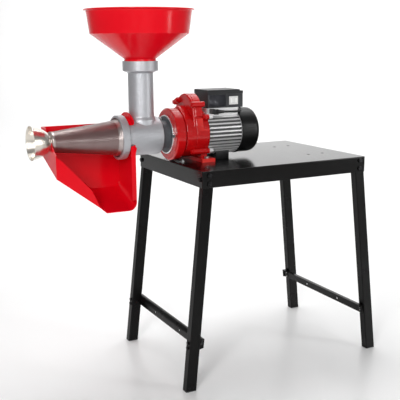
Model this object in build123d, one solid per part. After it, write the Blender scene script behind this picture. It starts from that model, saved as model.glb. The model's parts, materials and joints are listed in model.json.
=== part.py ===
from build123d import *
from math import acos, cos, hypot, pi, radians, sin, tan
import os

# Electric fruit strainer on a steel stand. Millimetres, +Z up, floor at Z = 0.
# The machine's axis runs along X in the plane Y = 0: waste outlet at -X, motor at +X.

# ---- stand -------------------------------------------------------------------------
table_width = 625.0          # X
table_depth = 480.0          # Y
table_height = 700.0
skirt_height = 52.0
sheet = 2.0
leg_width = 36.0             # along X
leg_depth = 28.0             # along Y
leg_wall = 1.5
leg_corner = 3.0
leg_splay_x = 68.0           # how far a foot stands out past the table's end
leg_splay_y = 10.0
leg_gap = 0.4                # leg to the lower edge of the skirt
cap_height = 3.0
brace_level = 150.0
brace_height = 32.0
brace_flange = 14.0
skirt_bolt_inset = 23.0
skirt_bolt_drops = (13.0, 39.0)
spare_hole_pitch = (60.0, 212.0)
spare_hole_x = 514.5         # centre of the spare hole pattern, from the table's left end

# ---- machine -----------------------------------------------------------------------
axis_z = table_height + 89.0
outlet_reach = 456.0         # the outlet's rim, from the table's left end
table_left = (outlet_reach - table_width - leg_splay_x) / 2
neck_offset = -93.5          # hopper and neck, from the table's left end
barrel_radius = 60.5
barrel_bore = 55.0
ring_radius = 70.0
neck_radius = 40.2
collar_radius = 56.4
collar_top = 1026.0
hopper_rim_radius = 172.0
hopper_top = 1184.0
guard_wall = 2.5
foot_span = (80.0, 128.0)    # the gearbox's foot, from the table's left end
foot_half_width = 86.0
foot_thick = 12.0
foot_bolt_y = 70.0

# ---- gear train ----------------------------------------------------------------------
gear_module = 2.0
pressure_angle = radians(25)
pinion_teeth, lay_gear_teeth = 16, 50
lay_pinion_teeth, output_teeth = 15, 51
shaft_distance = gear_module * (pinion_teeth + lay_gear_teeth) / 2
lay_z = axis_z + shaft_distance
backlash = 0.35

# ---- mains cord ----------------------------------------------------------------------
cord_diameter = 6.8
coil_mean_radius = 38.0
coil_centre = (150.0, 172.0)
coil_layers = 3
plug_end = 128.0             # where the lead enters the plug, from the table's left end


# ---- fasteners and fits ----------------------------------------------------------------
m8, m6 = 4.0, 3.0            # shank radii
m8_flats, m6_flats = 13.0, 10.0
m8_head, m6_head = 5.3, 4.0  # head heights
m8_nut, m6_nut = 6.5, 5.0    # nut heights
screw, screw_head = 3.1, 5.4  # shank and head radii of the cylinder-head screws
hole_gap = 0.2               # how much wider a bolt's hole is than its shank, on the radius
thread_gap = 0.05            # the same for a nut
mount_hole = 5.5             # radius of the 11 mm holes in the table top and the foot
run_fit = 0.05               # radial clearance of a shaft in its bearing
free_gap = 0.4               # clearance between pieces that move past each other


def at(x):
    """X of a point given its distance from the table's left end."""
    return table_left + x


def rod(radius, start, end, y=0.0, z=axis_z):
    """Cylinder along X between two distances from the table's left end."""
    return Pos(at((start + end) / 2), y, z) * Rot(0, 90, 0) * Cylinder(radius, end - start)


def pipe(outer, inner, start, end, y=0.0, z=axis_z):
    return rod(outer, start, end, y, z) - rod(inner, start - 1, end + 1, y, z)


def post(radius, low, high, x, y=0.0):
    return Pos(x, y, (low + high) / 2) * Cylinder(radius, high - low)


def bar_y(radius, near, far, x, z):
    return Pos(x, (near + far) / 2, z) * Rot(90, 0, 0) * Cylinder(radius, far - near)


def block(x_span, y_span, z_span):
    size = [span[1] - span[0] for span in (x_span, y_span, z_span)]
    middle = [(span[0] + span[1]) / 2 for span in (x_span, y_span, z_span)]
    return Pos(*middle) * Box(*size)


def turned(points):
    """Revolve (distance from table's left end, radius) points about the machine's axis."""
    outline = Polyline(*[(at(x), axis_z + radius) for x, radius in points], close=True)
    return revolve(Plane.XZ * make_face(outline), Axis((0, 0, axis_z), (1, 0, 0)))


def turned_z(points, x):
    """Revolve (radius, height) points about a vertical axis through X = x."""
    outline = Polyline(*[(x + radius, z) for radius, z in points], close=True)
    return revolve(Plane.XZ * make_face(outline), Axis((x, 0, 0), (0, 0, 1)))


def hexagon_x(across, start, end, y, z):
    """Hexagonal head or nut whose axis is along X."""
    flat = Plane.YZ * Pos(y, z) * RegularPolygon(across / 2, 6, major_radius=False)
    return extrude(Pos(at(start), 0, 0) * flat, end - start, dir=(1, 0, 0))


def hexagon_y(across, near, far, x, z):
    flat = Plane.XZ * Pos(x, z) * RegularPolygon(across / 2, 6, major_radius=False)
    return extrude(Pos(0, near, 0) * flat, far - near, dir=(0, 1, 0))


def hexagon_z(across, low, high, x, y):
    return extrude(Pos(x, y, low) * RegularPolygon(across / 2, 6, major_radius=False), high - low)


def around(count, radius, start_deg=0.0, y=0.0, z=axis_z):
    """Points spaced evenly on a circle in the YZ plane."""
    for i in range(count):
        angle = radians(start_deg + 360 * i / count)
        yield y + radius * cos(angle), z + radius * sin(angle)


def group(solids):
    return Compound(children=[s for item in solids for s in item.solids()])


def save(shape, name):
    solids = shape.solids()
    result = solids[0] if len(solids) == 1 else Compound(children=list(solids))
    export_step(result, f"parts/{name}.step")


# ---- stand pieces --------------------------------------------------------------------
def table_span():
    return (at(0), at(table_width)), (-table_depth / 2, table_depth / 2)


def leg_outer_x(z):
    """How far inside (+) or outside (-) the table's end the leg's outer face lies."""
    low_edge = table_height - skirt_height
    inset = sheet + leg_gap
    return inset - (inset + leg_splay_x) * (low_edge - z) / low_edge


def leg_outer_y(z):
    low_edge = table_height - skirt_height
    inset = sheet + leg_gap
    return inset - (inset + leg_splay_y) * (low_edge - z) / low_edge


def leg_section(z, side_x, side_y, inset=0.0):
    """Rectangle of a leg at height z; side_x and side_y are -1 or +1."""
    x_mid = leg_outer_x(z) + leg_width / 2
    y_mid = leg_outer_y(z) + leg_depth / 2
    x = at(x_mid) if side_x < 0 else at(table_width - x_mid)
    y = side_y * (table_depth / 2 - y_mid)
    size = (leg_width - 2 * inset, leg_depth - 2 * inset)
    return Pos(x, y, z) * RectangleRounded(*size, leg_corner - min(inset, leg_wall))


def leg_length(low, high, side_x, side_y, inset=0.0):
    return loft([leg_section(z, side_x, side_y, inset) for z in (low, high)], ruled=True)


def skirt_bolt_places():
    """(X, side_y, Z) of the bolts through the front and rear skirts."""
    for side_y in (-1, 1):
        for x in (skirt_bolt_inset, table_width - skirt_bolt_inset):
            for drop in skirt_bolt_drops:
                yield at(x), side_y, table_height - drop


def end_bolt_places():
    """(side_x, Y, Z) of the single bolt through each end skirt beside a corner."""
    for side_x in (-1, 1):
        for side_y in (-1, 1):
            yield side_x, side_y * (table_depth / 2 - 17), table_height - sum(skirt_bolt_drops) / 2


def foot_bolt_places():
    for side in (-1, 1):
        yield at(sum(foot_span) / 2), side * foot_bolt_y


def make_table_top():
    x_span, y_span = table_span()
    low = table_height - skirt_height
    tray = block(x_span, y_span, (low, table_height))
    tray = fillet(tray.edges().filter_by(Axis.Z), 6)
    tray = fillet(tray.faces().sort_by(Axis.Z)[-1].edges(), 2.5)
    hollow = block((x_span[0] + sheet, x_span[1] - sheet), (y_span[0] + sheet, y_span[1] - sheet),
                   (low - 1, table_height - sheet))
    hollow = fillet(hollow.edges().filter_by(Axis.Z), 6 - sheet)
    top = tray - hollow
    for x, side_y, z in skirt_bolt_places():
        top -= bar_y(m8 + hole_gap, side_y * table_depth / 2 - 6, side_y * table_depth / 2 + 6, x, z)
    for side_x, y, z in end_bolt_places():
        x = 0 if side_x < 0 else table_width
        top -= rod(m8 + hole_gap, x - 6, x + 6, y, z)
    for x, y in foot_bolt_places():
        top -= post(mount_hole, table_height - 10, table_height + 5, x, y)
    for dx in (-0.5, 0.5):
        for dy in (-0.5, 0.5):
            x = at(spare_hole_x + dx * spare_hole_pitch[0])
            top -= post(mount_hole, table_height - 10, table_height + 5, x, dy * spare_hole_pitch[1])
    return top


def make_leg(side_x, side_y):
    head = table_height - sheet - 1
    leg = leg_length(cap_height, head, side_x, side_y)
    leg -= leg_length(cap_height - 1, head + 1, side_x, side_y, leg_wall)
    for x, bolt_side, z in skirt_bolt_places():
        if bolt_side == side_y and (x < at(table_width / 2)) == (side_x < 0):
            face = side_y * table_depth / 2
            leg -= bar_y(m8 + hole_gap, face - 45, face + 45, x, z)
    for bolt_side, y, z in end_bolt_places():
        if bolt_side == side_x and y * side_y > 0:
            leg -= end_bolt_hole(side_x, y, z)
    for x, y, z, inward in brace_bolt_places():
        if inward == -side_x and y * side_y > 0:
            low, high = sorted((x - inward * 30, x + inward * 60))
            leg -= rod(m6 + hole_gap, low, high, y, z)
    return leg


def end_bolt_hole(side_x, y, z):
    x = 0 if side_x < 0 else table_width
    return rod(m8 + hole_gap, x - 50, x + 50, y, z)


def make_leg_caps():
    """A plastic cap closes the foot of each leg and plugs into the tube."""
    caps = []
    for side_x in (-1, 1):
        for side_y in (-1, 1):
            tread = leg_length(0, cap_height, side_x, side_y)
            plug = leg_length(cap_height, cap_height + 14, side_x, side_y, leg_wall + 0.05)
            caps.append(tread + plug)
    return group(caps)


def brace_face(z):
    """Inner face of a left leg at height z, from the table's left end."""
    return leg_outer_x(z) + leg_width


def make_brace(side_x):
    """Folded strip that ties the front leg to the rear leg, parallel to their inner faces."""
    low, high = brace_level - brace_height / 2, brace_level + brace_height / 2
    reach = table_depth / 2 - leg_outer_y(brace_level) - 2
    web_low = brace_face(low) + 0.1
    web_high = brace_face(high) + 0.1
    profile = Polyline((web_low, low), (web_high, high), (web_high + brace_flange, high),
                       (web_high + brace_flange, high - sheet), (web_high + sheet, high - sheet),
                       (web_low + sheet, low), close=True)
    strip = extrude(Pos(0, -reach, 0) * (Plane.XZ * make_face(profile)), 2 * reach, dir=(0, 1, 0))
    for side_y in (-1, 1):
        end = sorted((side_y * reach, side_y * (reach - sheet)))
        tab = Polyline((web_low, low), (web_high, high), (web_high + brace_flange, high),
                       (web_low + brace_flange, low + 3), close=True)
        strip += extrude(Pos(0, end[0], 0) * (Plane.XZ * make_face(tab)), sheet, dir=(0, 1, 0))
    strip = Pos(table_left, 0, 0) * strip
    for hole_y in (-95, 95):
        strip -= rod(3.5, web_low - 10, web_high + 10, hole_y, brace_level - 4)
    for x, y, z, inward in brace_bolt_places():
        if inward > 0:
            strip -= rod(m6 + hole_gap, x - 10, x + 60, y, z)
    if side_x > 0:
        strip = mirror(strip, Plane.YZ.offset(at(table_width / 2)))
    return strip


def brace_bolt_places():
    """(distance, Y, Z, direction of the shank) of the bolts through legs and braces."""
    for z in (brace_level - 8, brace_level + 8):
        for side_y in (-1, 1):
            y = side_y * (table_depth / 2 - leg_outer_y(z) - leg_depth / 2)
            yield leg_outer_x(z), y, z, 1
            yield table_width - leg_outer_x(z), y, z, -1


def bolt_x(start, length, radius, across, head, y, z, inward):
    """Bolt along X: head outside start, shank running inward by length."""
    low, high = sorted((start, start + inward * length))
    head_low, head_high = sorted((start - inward * head, start))
    return rod(radius, low, high, y, z) + hexagon_x(across, head_low, head_high, y, z)


def make_leg_bolts():
    bolts = []
    for x, side_y, z in skirt_bolt_places():
        face = side_y * table_depth / 2
        near, far = sorted((face + side_y * m8_head, face))
        low, high = sorted((face, face - side_y * 48))
        bolts.append(hexagon_y(m8_flats, near, far, x, z) + bar_y(m8, low, high, x, z))
    return group(bolts)


def make_leg_nuts():
    nuts = []
    for x, side_y, z in skirt_bolt_places():
        inner = side_y * (table_depth / 2 - leg_outer_y(z) - leg_depth - 0.3)
        near, far = sorted((inner, inner - side_y * m8_nut))
        nuts.append(hexagon_y(m8_flats, near, far, x, z) - bar_y(m8 + thread_gap, near - 1, far + 1, x, z))
    return group(nuts)


def make_end_bolts():
    """Short screws that fix each end skirt to the outer wall of a leg."""
    bolts = []
    for side_x, y, z in end_bolt_places():
        start = 0 if side_x < 0 else table_width
        bolts.append(bolt_x(start, 11, m8, m8_flats, m8_head, y, z, -side_x))
    return group(bolts)


def make_brace_bolts():
    return group([bolt_x(x - inward * 0.7, leg_width + 12, m6, m6_flats, m6_head, y, z, inward)
                  for x, y, z, inward in brace_bolt_places()])


def make_brace_nuts():
    nuts = []
    for x, y, z, inward in brace_bolt_places():
        start = x + inward * (leg_width + sheet + 0.9)
        low, high = sorted((start, start + inward * m6_nut))
        nuts.append(hexagon_x(m6_flats, low, high, y, z) - rod(m6 + thread_gap, low - 1, high + 1, y, z))
    return group(nuts)


def make_stand_bolts():
    return group([make_leg_bolts(), make_brace_bolts()])


def make_stand_nuts():
    return group([make_leg_nuts(), make_brace_nuts()])


# ---- strainer --------------------------------------------------------------------------
barrel_front, barrel_rear = -172.5, -41.0
ring_front, ring_rear = -182.0, -159.0
coupling_front, coupling_rear = -41.0, 7.0
disc_front, disc_radius = -13.0, 62.8
clamp_angles = (60.0, -60.0)    # from +Y, round the axis
clamp_radius = 55.8
sieve_base, sieve_tip = -188.0, -391.0
sieve_base_radius, sieve_tip_radius = 54.5, 31.0
throat_radius = 22.6
lug_arc = 44.0
coupling_screw_circle = 74.0


def coupling_screw_places():
    """The screws that hold the strainer body on the coupling flange."""
    return list(around(4, coupling_screw_circle / 2, 45))


def arc_lugs(outer, inner, start, end, centre_deg):
    """Three lugs, each a sector of a ring, spaced 120 degrees apart."""
    band = pipe(outer, inner, start, end)
    lugs = []
    for i in range(3):
        angles = [radians(centre_deg + 120 * i + side * lug_arc / 2) for side in (-1, 1)]
        reach = 2 * outer
        wedge = Polyline((0, axis_z), *[(reach * cos(a), axis_z + reach * sin(a)) for a in angles],
                         close=True)
        sector = extrude(Pos(at(start - 1), 0, 0) * (Plane.YZ * make_face(wedge)),
                         end - start + 2, dir=(1, 0, 0))
        lugs += (band & sector).solids()
    return lugs


def make_strainer_body():
    """Barrel, neck and hopper collar are one casting."""
    x = at(neck_offset)
    collar_low = collar_top - 30
    skin = rod(barrel_radius, barrel_front, barrel_rear)
    neck = turned_z([(0, axis_z), (neck_radius + 7, axis_z), (neck_radius + 7, axis_z + 52),
                     (neck_radius, axis_z + barrel_radius + 5), (neck_radius, collar_low - 7),
                     (collar_radius, collar_low), (collar_radius, collar_top), (0, collar_top)], x)
    body = skin + neck
    body = chamfer(body.faces().sort_by(Axis.X)[-1].edges(), 2)
    for lug in arc_lugs(64, barrel_radius - 1, barrel_front + 0.5, barrel_front + 6.5, 90):
        body += lug
    body -= rod(barrel_bore, barrel_front - 1, barrel_rear - 6)
    body -= rod(24, barrel_rear - 10, barrel_rear + 1)
    body -= turned_z([(0, axis_z), (35, axis_z), (35, collar_low + 2), (50.2, collar_low + 4),
                      (50.2, collar_top + 1), (0, collar_top + 1)], x)
    for y, z in coupling_screw_places():
        body -= rod(screw + hole_gap, barrel_rear - 12, barrel_rear + 1, y, z)
    return body


def clamp_places():
    for angle in clamp_angles:
        yield clamp_radius * cos(radians(angle)), axis_z + clamp_radius * sin(radians(angle))


def make_coupling_flange():
    """Steel neck and disc that carry the strainer body in the gearbox's socket."""
    flange = turned([(coupling_front, 24), (coupling_front, 47), (disc_front, 47),
                     (disc_front, disc_radius - 1.5), (disc_front + 1.5, disc_radius),
                     (coupling_rear, disc_radius), (coupling_rear, 24)])
    for y, z in clamp_places():
        flange -= rod(m8 + hole_gap, disc_front - 1, coupling_rear + 1, y, z)
    for y, z in coupling_screw_places():
        flange -= rod(screw + hole_gap, coupling_front - 1, coupling_rear + 1, y, z)
        flange -= rod(screw_head + hole_gap, coupling_rear - 5, coupling_rear + 1, y, z)
    notch = block((at(disc_front - 1), at(disc_front + 8)), (-70, -56), (axis_z - 4, axis_z + 4))
    return flange - notch


def make_coupling_bolts():
    """Clamp bolts into the gearbox and countersunk screws into the strainer body."""
    bolts = [bolt_x(disc_front, coupling_rear - disc_front + 15, m8, m8_flats, m8_head, y, z, 1)
             for y, z in clamp_places()]
    for y, z in coupling_screw_places():
        bolts.append(rod(screw, barrel_rear - 9, coupling_rear - 4.9, y, z)
                     + rod(screw_head, coupling_rear - 4.9, coupling_rear - 0.9, y, z))
    return group(bolts)


def make_retaining_ring():
    """Bayonet ring that holds the sieve's flange against the barrel."""
    lip, bore = 62.6, 65.8
    ring = turned([(ring_front, lip), (ring_front, 68.0), (ring_front + 2, ring_radius),
                   (ring_rear - 1.5, ring_radius), (ring_rear, 68.5), (ring_rear, bore),
                   (ring_front + 4, bore), (ring_front + 4, lip)])
    for lug in arc_lugs(bore + 1, barrel_radius + free_gap, ring_rear - 5, ring_rear - 0.5, 90):
        ring += lug
    slot = block((at(ring_front - 1), at(ring_rear + 1)), (-0.9, 0.9),
                 (ring_radius - 1.6, ring_radius + 2))
    for i in range(9):
        ring -= Pos(0, 0, axis_z) * Rot(40 * i + 8, 0, 0) * slot
    return ring


def make_sieve_cone():
    """Perforated cone; the holes are far smaller than the sheet's curvature."""
    wall = 1.2
    flange_front, flange_radius = ring_front + 4.4, 65.4
    return turned([(barrel_front - 0.1, barrel_bore), (barrel_front - 0.1, flange_radius),
                   (flange_front, flange_radius), (flange_front, 60.4), (flange_front - 1.6, 59.6),
                   (flange_front - 1.6, 57.8), (sieve_base + 5, 57.8), (sieve_base + 5, 56.4),
                   (sieve_base, 56.4), (sieve_base, sieve_base_radius),
                   (sieve_tip, sieve_tip_radius), (sieve_tip, sieve_tip_radius + 0.6),
                   (sieve_tip - 5, sieve_tip_radius + 0.6), (sieve_tip - 5, throat_radius),
                   (sieve_tip - 1, throat_radius), (sieve_tip - 1, sieve_tip_radius - wall),
                   (sieve_tip, sieve_tip_radius - wall), (sieve_base, sieve_base_radius - wall)])


outlet_profile = [(-401.5, throat_radius), (-402.5, 29.4), (-409, 34.6), (-418.6, 40.2),
                  (-432.4, 45.6), (-447, 50.2), (-455, 53.0)]


def make_waste_outlet():
    """Flared outlet, rolled at the rim."""
    wall = 1.6
    outside = [(sieve_tip - 1.2, throat_radius)] + outlet_profile
    inside = [(x + 0.4, radius - wall) for x, radius in reversed(outlet_profile[1:-1])]
    inside += [(-400.5, throat_radius - wall), (sieve_tip - 1.2, throat_radius - wall)]
    rim = [(-outlet_reach, 52.6), (-outlet_reach, 51.4), (-454.5, 51.0)]
    return turned(outside + rim + inside)


guard_front, guard_back = -65.0, 76.0
guard_left, guard_right = -399.5, -143.0
guard_rise = 54.0 / 141.0        # the floor rises towards the rear wall
guard_top = 829.0
strap_width = 15.0
hook_plate_radius = 79.0
strap_end = 831.0            # height of the strap's free end, in front of the barrel
guard_floor = [(guard_left, 685.0), (-265.5, 583.0), (-244.5, 564.0), (guard_right, 563.0)]
guard_lip = [(guard_left, 751.0), (-385.0, 743.0), (-347.0, 702.0), (-291.0, 641.0), (-278.5, 615.0),
             (-265.5, 583.0)]


def guard_outline(inset):
    """Side view of the guard: left end, sloped floor, rounded corner, right end."""
    left, right = at(guard_left) + inset, at(guard_right) - inset
    lifts = [inset * 0.67, inset * 1.25, inset * 1.12, inset * 1.12]     # the wall measured upright
    heights = [z + lift for (x, z), lift in zip(guard_floor, lifts)]
    floor = list(zip([left, at(guard_floor[1][0]), at(guard_floor[2][0]), right], heights))
    shape = make_face(Polyline((left, 900), *floor, (right, 900), close=True))
    corner = shape.vertices().sort_by(Axis.Y)[0:2].sort_by(Axis.X)[-1]
    return fillet(corner, 26 - inset)


def guard_prism(inset, near, far):
    """The outline carried back along the rising floor."""
    start = Pos(0, near, (near - guard_front) * guard_rise) * (Plane.XZ * guard_outline(inset))
    return extrude(start, (far - near) * hypot(1, guard_rise), dir=(0, 1, guard_rise))


def strap_corner(left, radius):
    """What is cut off to round the strap's free end."""
    x, z = at(left) + radius, strap_end + radius
    return block((x - radius - 1, x), (-90, -10), (strap_end - 1, z)) - bar_y(radius, -91, -9, x, z)


def make_splash_guard():
    """Open-fronted scoop under the sieve, hung on the barrel by an open strap."""
    shell = guard_prism(0, guard_front, guard_back)
    shell -= guard_prism(guard_wall, guard_front - 5, guard_back - guard_wall)
    front = Polyline(*[(at(x), z) for x, z in guard_floor[:2]],
                     *[(at(x), z) for x, z in reversed(guard_lip[:-1])], close=True)
    shell += extrude(Pos(0, guard_front, 0) * (Plane.XZ * make_face(front)), guard_wall, dir=(0, 1, 0))
    shell -= block((at(-500), at(0)), (guard_front - 30, guard_back + 30), (guard_top, 1100))
    notch = 24                                   # radius of the cradle under the outlet's throat
    left_cut = make_face(Polyline((-28, 781), (-90, 735), (-90, 900), (notch, 900), (notch, axis_z),
                                  (-notch, axis_z), close=True))
    shell -= extrude(Pos(at(guard_left - 5), 0, 0) * (Plane.YZ * left_cut), 12, dir=(1, 0, 0))
    shell -= rod(notch, guard_left - 5, guard_left + 7)
    shell -= block((at(guard_right - 8), at(guard_right + 5)), (guard_front - 10, 40), (770, 900))
    hook_radius = barrel_radius + free_gap
    mouth = block((at(guard_right - 30), at(guard_right + 5)), (-90, -10), (764, strap_end))
    strap_left = guard_right - strap_width
    strap = pipe(hook_radius + 3, hook_radius, strap_left, guard_right) - mouth
    strap -= strap_corner(strap_left, 7)
    hook = pipe(hook_plate_radius, hook_radius, guard_right - 3.2, guard_right) - mouth
    hook = fillet(hook.edges().filter_by(Axis.X).group_by(Axis.Z)[-1].sort_by(Axis.Y)[0], 9)
    lip = block((at(strap_left), at(guard_right)), (guard_front, guard_front + 3), (596, 768))
    lip = fillet(lip.edges().filter_by(Axis.Y).group_by(Axis.Z)[-1], 6)
    lip -= rod(hook_radius, strap_left - 1, guard_right + 1)
    shell -= rod(hook_radius, guard_right - 30, guard_right + 5)
    return shell + strap + hook + lip


def make_hopper():
    """Bowl, cone and spigot, 2.6 mm thick, with a rolled rim."""
    x = at(neck_offset)
    return turned_z([
        (46.8, 1003.0), (49.8, 1003.0), (49.8, 1032.0), (155.6, 1109.5), (163.9, 1172.0),
        (165.5, 1178.5), (hopper_rim_radius, 1180.0), (hopper_rim_radius, 1183.0),
        (hopper_rim_radius - 1.4, hopper_top), (163.0, 1182.6), (161.3, 1174.0), (153.2, 1111.2),
        (46.8, 1033.6)], x)


def screw_flight(pitch, height, core, rise, thick, cone=0.0):
    """One helical flight, swept round a core whose axis is +Z."""
    path = Helix(pitch, height, core, cone_angle=cone)
    start = Plane(path @ 0, x_dir=(1, 0, 0), z_dir=(0, 1, 0))
    section = start * Pos(rise / 2 - 1, 0) * Rectangle(rise + 2, thick)
    return sweep(section, path=path, is_frenet=True)


def make_auger():
    """Feed screw: deep flights in the barrel, shallow conical ones inside the sieve."""
    core = turned([(-384, 0), (-384, 15), (-196, 36), (-178, 36), (-178, 26), (-52, 26), (-52, 21),
                   (-44, 21), (-44, 0)])
    deep = screw_flight(pitch=42, height=118, core=26, rise=27, thick=6)
    deep = Pos(at(-56), 0, axis_z) * Rot(0, -90, 0) * deep
    fine = screw_flight(pitch=30, height=176, core=36, rise=14.5, thick=5, cone=-6.5)
    fine = Pos(at(-198), 0, axis_z) * Rot(0, -90, 0) * fine
    auger = core + deep + fine
    socket = block((at(-75), at(-43)), (-drive_half, drive_half), (axis_z - drive_half, axis_z + drive_half))
    return auger - socket


# ---- gearbox ---------------------------------------------------------------------------
socket_front, socket_rear = -5.0, 26.0
cover_front, cover_rear = 32.0, 66.0
lobe_rear, housing_rear = 92.0, 113.0
gear_wall = 6.0
socket_screw_circle = 96.0
drive_half = 8.0             # half the width of the auger's square socket


def involute(angle):
    return tan(angle) - angle


def gear(teeth, start, end, z, tooth_at_deg, bore):
    """Spur gear about an axis along X, with one tooth centred on the given direction."""
    pitch_radius = gear_module * teeth / 2
    base = pitch_radius * cos(pressure_angle)
    root, tip = pitch_radius - 1.25 * gear_module, pitch_radius + 0.92 * gear_module
    low = max(base, root + 0.05)
    half = pi / (2 * teeth) - backlash / (4 * pitch_radius) + involute(pressure_angle)
    flank = []
    for i in range(5):
        radius = low + (tip - low) * i / 4
        flank.append((radius, half - involute(acos(min(1.0, base / radius)))))
    flank.insert(0, (root, half - involute(acos(min(1.0, base / low)))))
    outline = []
    for i in range(teeth):
        centre = radians(tooth_at_deg) + 2 * pi * i / teeth
        outline += [(r, centre - offset) for r, offset in flank]
        outline += [(r, centre + offset) for r, offset in reversed(flank)]
    face = make_face(Polyline(*[(r * cos(a), z + r * sin(a)) for r, a in outline], close=True))
    blank = extrude(Pos(at(start), 0, 0) * (Plane.YZ * face), end - start, dir=(1, 0, 0))
    return blank - rod(bore, start - 1, end + 1, 0, z)


def oval(lower, upper, start, end):
    """Prism round two circles, one on the main axis and one on the layshaft, along X."""
    slope = acos((lower - upper) / shaft_distance)
    (y1, z1), (y2, z2) = [(radius * sin(slope), z + radius * cos(slope))
                          for radius, z in ((lower, axis_z), (upper, lay_z))]
    side = Polyline((-y1, z1), (-y2, z2), (y2, z2), (y1, z1), close=True)
    web = extrude(Pos(at(start), 0, 0) * (Plane.YZ * make_face(side)), end - start, dir=(1, 0, 0))
    return web + rod(lower, start, end) + rod(upper, start, end, 0, lay_z)


def socket_screw_places():
    """The screws that hold the socket ring on the gearbox cover."""
    return list(around(6, socket_screw_circle / 2, 15))


def make_socket_ring():
    """Heavy ring that receives the strainer's coupling flange."""
    floor = coupling_rear + 0.1
    ring = turned([(socket_front, 63.6), (socket_front, 81), (socket_front + 3.5, 84.8),
                   (socket_rear - 3, 84.8), (socket_rear, 82), (socket_rear, 72), (cover_front, 72),
                   (cover_front, 38.6), (floor, 38.6), (floor, 63.6)])
    for y, z in clamp_places():
        ring -= rod(m8 + hole_gap, floor - 1, floor + 17, y, z)
    for y, z in socket_screw_places():
        ring -= rod(screw + hole_gap, floor - 1, cover_front + 1, y, z)
        ring -= rod(screw_head + hole_gap, floor - 1, floor + 5, y, z)
    return ring


def make_socket_screws():
    return group([rod(screw, coupling_rear + 5, cover_front + 5, y, z)
                  + rod(screw_head, coupling_rear + 0.6, coupling_rear + 5, y, z)
                  for y, z in socket_screw_places()])


upper_lugs = [(-66, axis_z + 56), (66, axis_z + 56)]     # housing to motor
lower_lugs = [(-68, axis_z - 54), (68, axis_z - 54)]     # cover, housing and motor
lobe_lugs = [(-61, lay_z + 32), (61, lay_z + 32)]        # cover to housing
upper_lug_front, lobe_lug_rear = 98.0, 99.0
lug_radius = 9.0
cover_lug_front = cover_rear - 12
filler_thread = 6.0
filler_y, filler_z = 38.0, lay_z + 40


def lug_places():
    """(Y, Z) of the bolts that reach the motor."""
    return upper_lugs + lower_lugs


def make_gearbox_cover():
    """Front half of the case, with the seats of the front bearings."""
    seat = 34.1                                  # radius of the output bearing's seat
    outer = oval(78, 25, cover_front, cover_rear)
    outer = fillet(outer.faces().sort_by(Axis.X)[0].edges(), 4)
    plate = oval(78, 64, cover_rear - 8, cover_rear)
    outer += fillet(plate.faces().sort_by(Axis.X)[0].edges(), 5)
    for y, z in lower_lugs + lobe_lugs:
        outer += rod(lug_radius, cover_lug_front, cover_rear, y, z)
    outer += rod(10, cover_lug_front, cover_rear - 4, filler_y, filler_z)
    cavity = oval(62, 19.5, cover_front + gear_wall, cover_rear + 1)
    cover = outer - cavity
    cover -= rod(filler_thread, cover_rear - 13, cover_rear + 1, filler_y, filler_z)
    cover += pipe(46, seat, cover_front, cover_front + 8)
    cover -= rod(seat, cover_front - 1, cover_front + 14.2)
    cover += pipe(38.5, seat, cover_front + 4, cover_front + 14)
    cover += rod(24.5, cover_front + 5, cover_front + 13, 0, lay_z)
    cover -= rod(17.55, cover_front + 2, cover_front + 14, 0, lay_z)
    for y, z in lower_lugs + lobe_lugs:
        cover -= rod(m8 + hole_gap, cover_lug_front - 2, cover_rear + 1, y, z)
    for y, z in socket_screw_places():
        cover -= rod(screw + hole_gap, cover_front - 1, cover_front + 5.4, y, z)
    return cover


def make_gearbox_housing():
    """Rear half of the case, with its foot, the motor's spigot and the rear bearing seats."""
    outer = oval(78, 64, cover_rear, lobe_rear)
    rim = outer.faces().sort_by(Axis.X)[0].edges().filter_by(lambda e: e.center().Z > lay_z)
    outer = fillet(rim, 5)
    outer += rod(78, lobe_rear - 1, housing_rear)
    for y, z in lobe_lugs:
        outer += rod(lug_radius, cover_rear, lobe_lug_rear, y, z)
    for y, z in lug_places():
        front = upper_lug_front if z > axis_z else cover_rear
        outer += rod(lug_radius, front, housing_rear, y, z)
        outer += block((at(front), at(housing_rear)), sorted((y * 0.6, y)), (z - 8, z + 8))
    foot_high = table_height + foot_thick
    outer += block([at(x) for x in foot_span], (-foot_half_width, foot_half_width), (table_height, foot_high))
    outer += block((at(88), at(110)), (-62, 62), (foot_high - 1, axis_z - 30))
    cavity = oval(58, 56, cover_rear - 1, lobe_rear - gear_wall)
    housing = outer - cavity
    housing += pipe(26, 17.6, lobe_rear - gear_wall, lobe_rear + 9, 0, lay_z)
    housing -= rod(17.6, lobe_rear - 8, lobe_rear + 6, 0, lay_z)
    housing -= rod(62, lobe_rear + 8, housing_rear + 1)
    housing += pipe(29, 23.6, lobe_rear, lobe_rear + 16)
    housing -= rod(23.6, lobe_rear, lobe_rear + 17)
    housing -= rod(12, lobe_rear - 10, lobe_rear + 1)
    for y, z in lug_places() + lobe_lugs:
        housing -= rod(m8 + hole_gap, cover_rear - 1, housing_rear + 1, y, z)
    for x, y in foot_bolt_places():
        housing -= post(mount_hole, table_height - 1, axis_z - 40, x, y)
    return housing


def make_foot_bolts():
    """Bolts down through the gearbox's foot and the table top."""
    top = table_height + foot_thick
    return group([hexagon_z(m8_flats, top, top + m8_head, x, y) + post(m8, table_height - 16, top + 0.1, x, y)
                  for x, y in foot_bolt_places()])


def make_foot_nuts():
    top = table_height - sheet
    return group([hexagon_z(m8_flats, top - m8_nut, top, x, y) - post(m8 + thread_gap, top - 8, top + 1, x, y)
                  for x, y in foot_bolt_places()])


def make_gearbox_bolts():
    """Bolts through the lugs: cover to motor, housing to motor and cover to housing."""
    motor_thread = housing_rear + 14
    spans = [(lower_lugs, cover_lug_front, motor_thread), (upper_lugs, upper_lug_front, motor_thread),
             (lobe_lugs, cover_lug_front, lobe_lug_rear)]
    return group([bolt_x(start, end - start, m8, m8_flats, m8_head, y, z, 1)
                  for places, start, end in spans for y, z in places])


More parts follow.
